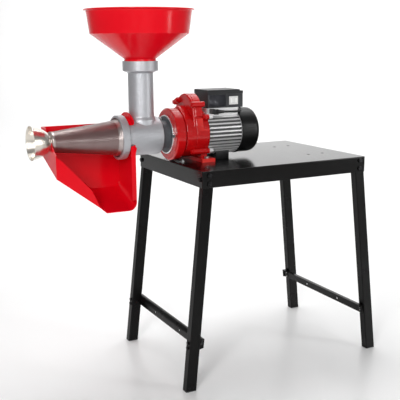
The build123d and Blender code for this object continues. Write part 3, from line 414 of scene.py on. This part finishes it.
def makeMotorAluminium():
    # drawn lines run along the fins; between them the metal is painted near-black toward the roots, as
    # painted shade with some grime
    fins = Finish("ribbedAluminium", Metallic=0.55)
    x, y, z = fins.split()
    depth = motorFinSet["tip"] - motorFinSet["root"]
    outFromFinShade = ((fins.fromAxis(y, z) - motorFinSet["root"]) / depth).clamped()
    lines = fins.noise(motorFinSet["drawLines"], 2, 0.6, fins.stretched((0.02, 1, 1)))
    bare = fins.mixed(fins.noise(26, 3), motorFinSet["dark"], motorFinSet["light"])
    # painted shade with some grime: near-black at the fin roots, fading to bare metal at the tips
    fins.set("Base Color", fins.mixed(outFromFinShade, motorFinSet["rootShadeAndGrime"], bare))
    fins.set("Roughness", 0.5 - outFromFinShade * 0.25 + lines * 0.08)
    fins.bumped((lines, 0.00004))
    return fins.material


laminationSet = {"gap": (0.07, 0.07, 0.075), "sheet": (0.22, 0.22, 0.23), "pitch": 0.0005}


def makeLaminations():
    stack = Finish("laminations", Metallic=0.8)
    x, y, z = stack.split()
    sheets = stack.waves(x, 2 * math.pi / laminationSet["pitch"])
    stack.set("Base Color", stack.mixed(sheets, laminationSet["gap"], laminationSet["sheet"]))
    stack.set("Roughness", 0.45 + sheets * 0.1)
    stack.bumped((sheets, 0.00005))
    return stack.material


copperSet = {"between": (0.24, 0.06, 0.02), "strand": (0.62, 0.24, 0.1), "strands": 5200}


def makeCopper():
    wire = Finish("windingCopper", Metallic=1.0, Coat_Weight=0.6, Coat_Roughness=0.2)
    x, y, z = wire.split()
    strands = wire.waves(wire.fromAxis(y, z) + x * 0.4, copperSet["strands"])
    wire.set("Base Color", wire.mixed(strands, copperSet["between"], copperSet["strand"]))
    wire.set("Roughness", 0.28 + strands * 0.12)
    wire.bumped((strands, 0.0004))
    return wire.material


def makeMoulded(name, low, high, rough, coat=0.0, grain=0.00006):
    # moulded plastic with a fine spark-eroded texture
    plastic = Finish(name, Coat_Weight=coat, Coat_Roughness=0.12, Specular_IOR_Level=0.3)
    cloud = plastic.noise(20, 4)
    rubbed = [c * 2.2 for c in high]
    plastic.set("Base Color", plastic.worn(plastic.mixed(cloud, low, high), rubbed, 0.53, 0.64))
    plastic.set("Roughness", rough + cloud * 0.12)
    plastic.bumped((plastic.noise(1300, 2), grain))
    return plastic.material


rubberSet = {"low": (0.008, 0.008, 0.009), "high": (0.028, 0.028, 0.03)}


def makeRubber():
    rubber = Finish("cordRubber")
    cloud = rubber.noise(90, 4)
    rubber.set("Base Color", rubber.mixed(cloud, rubberSet["low"], rubberSet["high"]))
    rubber.set("Roughness", 0.42 + cloud * 0.18)
    rubber.bumped((rubber.noise(1400, 2), 0.00006))
    return rubber.material


finishes = {
    "stand_black": makeStandPaint("standPaint", 0.22, 0.36, 0.0, 0.16),
    "cap_black": makeMoulded("legCapPlastic", (0.012, 0.012, 0.013), (0.03, 0.03, 0.032), 0.5),
    "zinc": makeZinc(),
    "cast_silver": makeCastSilver(),
    "dark_steel": makeCouplingSteel(),
    "black_bolt": makeCutSteel("blackenedSteel", (0.015, 0.015, 0.016), (0.05, 0.05, 0.052), 0.3),
    "sieve_steel": makeSieveSteel(),
    "outlet_steel": makeOutletSteel(),
    "red_plastic": makeRedPlastic(),
    "auger_plastic": makeAugerNylon(),
    "red_paint": makeRedEnamel(),
    "gear_steel": makeCutSteel("gearSteel", (0.28, 0.28, 0.28), (0.5, 0.5, 0.49), 0.3),
    "bearing_steel": makeCutSteel("bearingSteel", (0.5, 0.5, 0.5), (0.7, 0.7, 0.7), 0.14),
    "motor_aluminium": makeMotorAluminium(),
    "lamination": makeLaminations(),
    "copper": makeCopper(),
    "box_black": makeMoulded("boxPlastic", (0.010, 0.010, 0.011), (0.020, 0.021, 0.023), 0.3),
    "fan_black": makeMoulded("fanCoverPlastic", (0.004, 0.004, 0.004), (0.010, 0.010, 0.010), 0.24),
    "switch_white": makeMoulded("switchPlastic", (0.70, 0.70, 0.69), (0.82, 0.82, 0.80), 0.28, 0.3, 0.00002),
    "capacitor_white": makeMoulded("capacitorPlastic", (0.6, 0.6, 0.58), (0.75, 0.75, 0.72), 0.4),
    "rubber_black": makeRubber(),
}
tableGloss = makeStandPaint("tableGloss", 0.09, 0.16, 0.0, 0.34)
print("finishes made")


def paintNodes():
    slotOf = {part["node"]: part["material_slot"] for part in frame["record"]["subparts"]}
    for name, piece in nodes.items():
        piece.data.materials.clear()
        piece.data.materials.append(finishes[slotOf[name]])
    nodes["table_top"].data.materials[0] = tableGloss


paintNodes()


# how far each carried-over piece's sharp edges are rounded
edgeRadius = {
    "strainer_body": 0.0012, "retaining_ring": 0.0012, "socket_ring": 0.0014, "gearbox_cover": 0.0014,
    "gearbox_housing": 0.0012, "coupling_flange": 0.0006, "waste_outlet": 0.0004, "filler_plug": 0.0005,
    "terminal_box": 0.0006, "terminal_box_lid": 0.0008, "fan_cover": 0.0008, "motor_frame": 0.0003,
    "switch_frame": 0.0006, "switch_rocker": 0.0006, "cable_gland": 0.0006, "mains_plug": 0.0008,
    "table_top": 0.0006, "socket_screws": 0.0004, "gearbox_bolts": 0.0004, "stand_bolts": 0.0004,
    "end_skirt_screws": 0.0004, "lid_screws": 0.0003, "fan_cover_screws": 0.0003, "foot_bolts": 0.0005,
    "splash_guard": 0.0008, "hopper": 0.0004, "rear_shield": 0.0006,
}
sharpAngle = math.radians(38)
weldDistance = 0.00002


def roundEdges():
    for name, piece in nodes.items():
        weld = piece.modifiers.new("weld", "WELD")
        weld.merge_threshold = weldDistance
        if name in edgeRadius:
            bevel = piece.modifiers.new("edges", "BEVEL")
            bevel.width = edgeRadius[name]
            bevel.segments = 2
            bevel.limit_method = "ANGLE"
            bevel.angle_limit = sharpAngle
            bevel.harden_normals = False
        piece.data.shade_smooth()
        smooth = piece.modifiers.new("smooth", "WEIGHTED_NORMAL")
        smooth.keep_sharp = True


roundEdges()
print("edges rounded")


def addPiece(name, mesh, body, slot, material=None):
    piece = bpy.data.objects.new(name, mesh)
    scene.collection.objects.link(piece)
    mesh.materials.append(material or finishes[slot])
    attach(piece, body)
    return piece


def meshFrom(build, name):
    work = bmesh.new()
    build(work)
    bmesh.ops.recalc_face_normals(work, faces=work.faces)
    mesh = bpy.data.meshes.new(name)
    work.to_mesh(mesh)
    work.free()
    mesh.shade_smooth()
    return mesh


cordSet = {
    "diameter": 0.0068,
    "length": 1.62,
    "start": (0.177, -0.0565, 0.8585),       # X from the table's left end
    "route": [(0.194, -0.061, 0.858), (0.2285, -0.065, 0.857), (0.254, -0.041, 0.861),
              (0.258, -0.006, 0.874), (0.256, 0.027, 0.874), (0.252, 0.062, 0.857), (0.246, 0.092, 0.818),
              (0.238, 0.110, 0.774), (0.229, 0.122, 0.737), (0.211, 0.1285, 0.709), (0.181, 0.1304, 0.7035)],
    "coilCentre": (0.150, 0.172),
    "coilRadii": (0.0414, 0.0345),
    "turns": 5,
    "stepEvery": 0.9,                        # turns between two steps, so that no two steps meet
    "stepLength": 0.3,
    "pointsPerTurn": 20,
    "layer": 0.0069,
    "clear": 0.0001,                         # under the lowest turn
    "plugHeight": 0.0182,                    # the plug's middle over the table top
    "plugLead": 0.140,                       # last bend before the plug, from the table's left end
}
coilSlots = [(0, 0), (1, 0), (1, 1), (0, 1), (1, 2), (0, 2)]     # (which radius, which layer), turn by turn


def coilPoints():
    centreX, centreY = cordSet["coilCentre"]
    rest = tableTop + cordSet["diameter"] / 2 + cordSet["clear"]
    count = cordSet["turns"] * cordSet["pointsPerTurn"]
    for i in range(count + 1):
        turn = i / cordSet["pointsPerTurn"]
        slot = turn / cordSet["stepEvery"]
        whole = min(int(slot + 0.5), len(coilSlots) - 1)
        share = (slot - whole) / (cordSet["stepLength"] / cordSet["stepEvery"]) + 0.5
        share = min(max(share, 0), 1)
        share = share * share * (3 - 2 * share)     # eases in and out of the step
        before, after = coilSlots[max(whole - 1, 0)], coilSlots[whole]
        radii = [cordSet["coilRadii"][place[0]] for place in (before, after)]
        radius = radii[0] + (radii[1] - radii[0]) * share
        height = rest + cordSet["layer"] * (before[1] + (after[1] - before[1]) * share)
        angle = -math.pi / 2 - 2 * math.pi * turn
        yield tableLeft + centreX + radius * math.cos(angle), centreY + radius * math.sin(angle), height


def makeCord():
    plugLow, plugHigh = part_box("mains_plug")
    plugY = (plugLow.y + plugHigh.y) / 2
    plugZ = tableTop + cordSet["plugHeight"]
    points = [(tableLeft + x, y, z) for x, y, z in [cordSet["start"]] + cordSet["route"]]
    points += list(coilPoints())
    points.append((tableLeft + cordSet["plugLead"], plugY, plugZ - 0.0006))
    points += [(plugHigh.x + 0.004, plugY, plugZ), (plugHigh.x - 0.004, plugY, plugZ)]
    curve = bpy.data.curves.new("mainsLead", "CURVE")
    curve.dimensions = "3D"
    curve.bevel_depth = cordSet["diameter"] / 2
    curve.bevel_resolution = 6
    curve.resolution_u = 6
    curve.use_fill_caps = True
    line = curve.splines.new("NURBS")
    line.points.add(len(points) - 1)
    for point, place in zip(line.points, points):
        point.co = (*place, 1)
    line.order_u = 3
    line.use_endpoint_u = True
    lead = bpy.data.objects.new("mainsLead", curve)
    scene.collection.objects.link(lead)
    curve.materials.append(finishes["rubber_black"])
    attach(lead, "machine")
    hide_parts("mains_cord", "cord_coil")
    return lead, points[0]


tieSet = {"half": 0.0035, "thick": 0.0009, "slack": 0.0004, "steps": 48}


def makeCordTie():
    # a flat tie round the coil, on its far side
    centreX, centreY = cordSet["coilCentre"]
    outer, inner = cordSet["coilRadii"]
    half, layer, clear = cordSet["diameter"] / 2, cordSet["layer"], cordSet["clear"]
    middle = Vector((tableLeft + centreX, centreY + (outer + inner) / 2, tableTop + half + layer + clear))
    wide, high = (outer - inner) / 2 + half + tieSet["slack"], layer + half
    thick, steps = tieSet["thick"], tieSet["steps"]

    def build(work):
        rings = []
        for grow in (0.0, thick):
            for side in (-1, 1):
                ring = []
                for i in range(steps):
                    angle = 2 * math.pi * i / steps
                    c, s = math.cos(angle), math.sin(angle)
                    dy = math.copysign(abs(c) ** 0.5, c) * (wide + grow)
                    dz = math.copysign(abs(s) ** 0.5, s) * (high + grow)
                    z = max(middle.z + dz, tableTop + clear + (thick - grow) * 0.3)
                    ring.append(work.verts.new((middle.x + side * tieSet["half"], middle.y + dy, z)))
                rings.append(ring)
        inLeft, inRight, outLeft, outRight = rings
        for i in range(steps):
            j = (i + 1) % steps
            for one, two in ((inLeft, inRight), (inRight, outRight), (outRight, outLeft), (outLeft, inLeft)):
                work.faces.new((one[i], one[j], two[j], two[i]))

    return addPiece("cordTie", meshFrom(build, "cordTie"), "machine", "box_black")


plateSet = {
    "left": 0.004,       # its sides, from the terminal box's lowest corner
    "right": 0.0685,
    "low": 0.0055,
    "high": 0.0415,
    "sunk": 0.004,       # behind the switch frame's face
    "thick": 0.0005,
    "corner": 0.002,
    "rivet": 0.0011,
    "rivetInset": 0.003,
    "shade": (0.035, 0.036, 0.044),
    "sheen": (0.06, 0.062, 0.072),
}


def makePlateFinish():
    plate = Finish("platePrint", Metallic=0.35, Specular_IOR_Level=0.5)
    cloud = plate.noise(120, 3)
    plate.set("Base Color", plate.mixed(cloud, plateSet["shade"], plateSet["sheen"]))
    plate.set("Roughness", 0.3 + cloud * 0.12)
    plate.bumped((plate.noise(900, 2), 0.00002))
    return plate.material


def makeRatingPlate():
    # thin blank plate in the terminal box's recess, held by four rivets
    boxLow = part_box("terminal_box")[0]
    left, right = boxLow.x + plateSet["left"], boxLow.x + plateSet["right"]
    low, high = boxLow.z + plateSet["low"], boxLow.z + plateSet["high"]
    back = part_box("switch_frame")[0].y + plateSet["sunk"]
    front = back - plateSet["thick"]
    corner, inset = plateSet["corner"], plateSet["rivetInset"]

    def build(work):
        outline = []
        for x, z, start in ((right - corner, high - corner, 0), (left + corner, high - corner, 90),
                            (left + corner, low + corner, 180), (right - corner, low + corner, 270)):
            for step in range(6):
                angle = math.radians(start + 18 * step)
                outline.append((x + corner * math.cos(angle), z + corner * math.sin(angle)))
        face = work.faces.new([work.verts.new((x, back, z)) for x, z in outline])
        pushed = bmesh.ops.extrude_face_region(work, geom=[face])
        pushedVerts = [item for item in pushed["geom"] if isinstance(item, bmesh.types.BMVert)]
        bmesh.ops.translate(work, verts=pushedVerts, vec=(0, front - back, 0))
        for x in (left + inset, right - inset):
            for z in (low + inset, high - inset):
                dome = bmesh.ops.create_uvsphere(work, u_segments=12, v_segments=8, radius=plateSet["rivet"])
                for vert in dome["verts"]:
                    vert.co = Vector((x + vert.co.x, front + vert.co.z * 0.45, z + vert.co.y))

    return addPiece("ratingPlate", meshFrom(build, "ratingPlate"), "machine", "box_black", makePlateFinish())


makeRatingPlate()
print("rating plate made")

mainsLead, leadExit = makeCord()
cordTie = makeCordTie()
print("cord laid")


studioSet = {
    "floor": (0.86, 0.86, 0.86),
    "half": 6.0,
    "near": -8.0,
    "bendStart": 3.0,
    "bendRadius": 1.6,
    "bendSteps": 12,
    "wall": 5.0,
    "sky": 0.22,         # strength of the light from all round
}


def makeBackdrop():
    # floor that curves up into a wall behind the machine, square to the camera
    aim = Matrix.Rotation(math.radians(-cameraSet["turn"]), 4, "Z")
    start, radius, steps = studioSet["bendStart"], studioSet["bendRadius"], studioSet["bendSteps"]
    outline = [(studioSet["near"], 0.0), (start, 0.0)]
    for i in range(1, steps + 1):
        angle = math.pi / 2 * i / steps
        outline.append((start + radius * math.sin(angle), radius * (1 - math.cos(angle))))
    outline.append((start + radius, studioSet["wall"]))

    def build(work):
        rows = []
        sides = (-studioSet["half"], studioSet["half"])
        for y, z in outline:
            rows.append([work.verts.new(aim @ Vector((x, y, z))) for x in sides])
        for a, b in zip(rows, rows[1:]):
            work.faces.new((a[0], a[1], b[1], b[0]))

    mesh = meshFrom(build, "studioFloor")
    paper = Finish("palePaper", Coat_Weight=0.0)
    cloud = paper.noise(1.2, 3)
    paper.set("Base Color", paper.mixed(cloud, studioSet["floor"], [c * 1.015 for c in studioSet["floor"]]))
    paper.shader.inputs["Roughness"].default_value = 0.3
    floor = bpy.data.objects.new("studioFloor", mesh)
    scene.collection.objects.link(floor)
    mesh.materials.append(paper.material)


lightSet = [
    # name, place, aim, size, watts
    ("key", (-2.5, -2.5, 2.3), (-0.1, 0, 0.85), (0.8, 1.4), 58),
    ("frontStrip", (-1.9, -2.5, 1.3), (0, 0, 0.85), (0.14, 1.0), 7),
    ("rightPanel", (2.2, -2.4, 1.3), (0.1, 0, 0.8), (0.4, 1.8), 20),
    ("lowFront", (-0.7, -3.3, 1.0), (0, 0, 0.7), (1.4, 0.35), 13),
    ("overhead", (0.2, 0.5, 3.0), (0, 0.1, 0.8), (1.2, 0.8), 16),
    ("wallWash", (1.2, 2.0, 3.6), (1.9, 3.8, 1.2), (5.0, 2.2), 120),
    ("floorWash", (0.9, 1.0, 4.4), (0.9, 1.6, 0), (5.0, 3.0), 60),
]


def placeLights():
    for name, place, aim, size, watts in lightSet:
        data = bpy.data.lights.new(name, "AREA")
        data.shape = "RECTANGLE"
        data.size, data.size_y = size
        data.energy = watts
        lamp = bpy.data.objects.new(name, data)
        scene.collection.objects.link(lamp)
        lamp.location = place
        lamp.rotation_euler = (Vector(aim) - Vector(place)).to_track_quat("-Z", "Y").to_euler()
    world = bpy.data.worlds.new("studio")
    scene.world = world
    world.use_nodes = True
    sky = world.node_tree.nodes["Background"]
    sky.inputs["Color"].default_value = (1, 1, 1, 1)
    sky.inputs["Strength"].default_value = studioSet["sky"]
    scene.view_settings.view_transform = "Standard"


makeBackdrop()
placeLights()
print("studio lit")
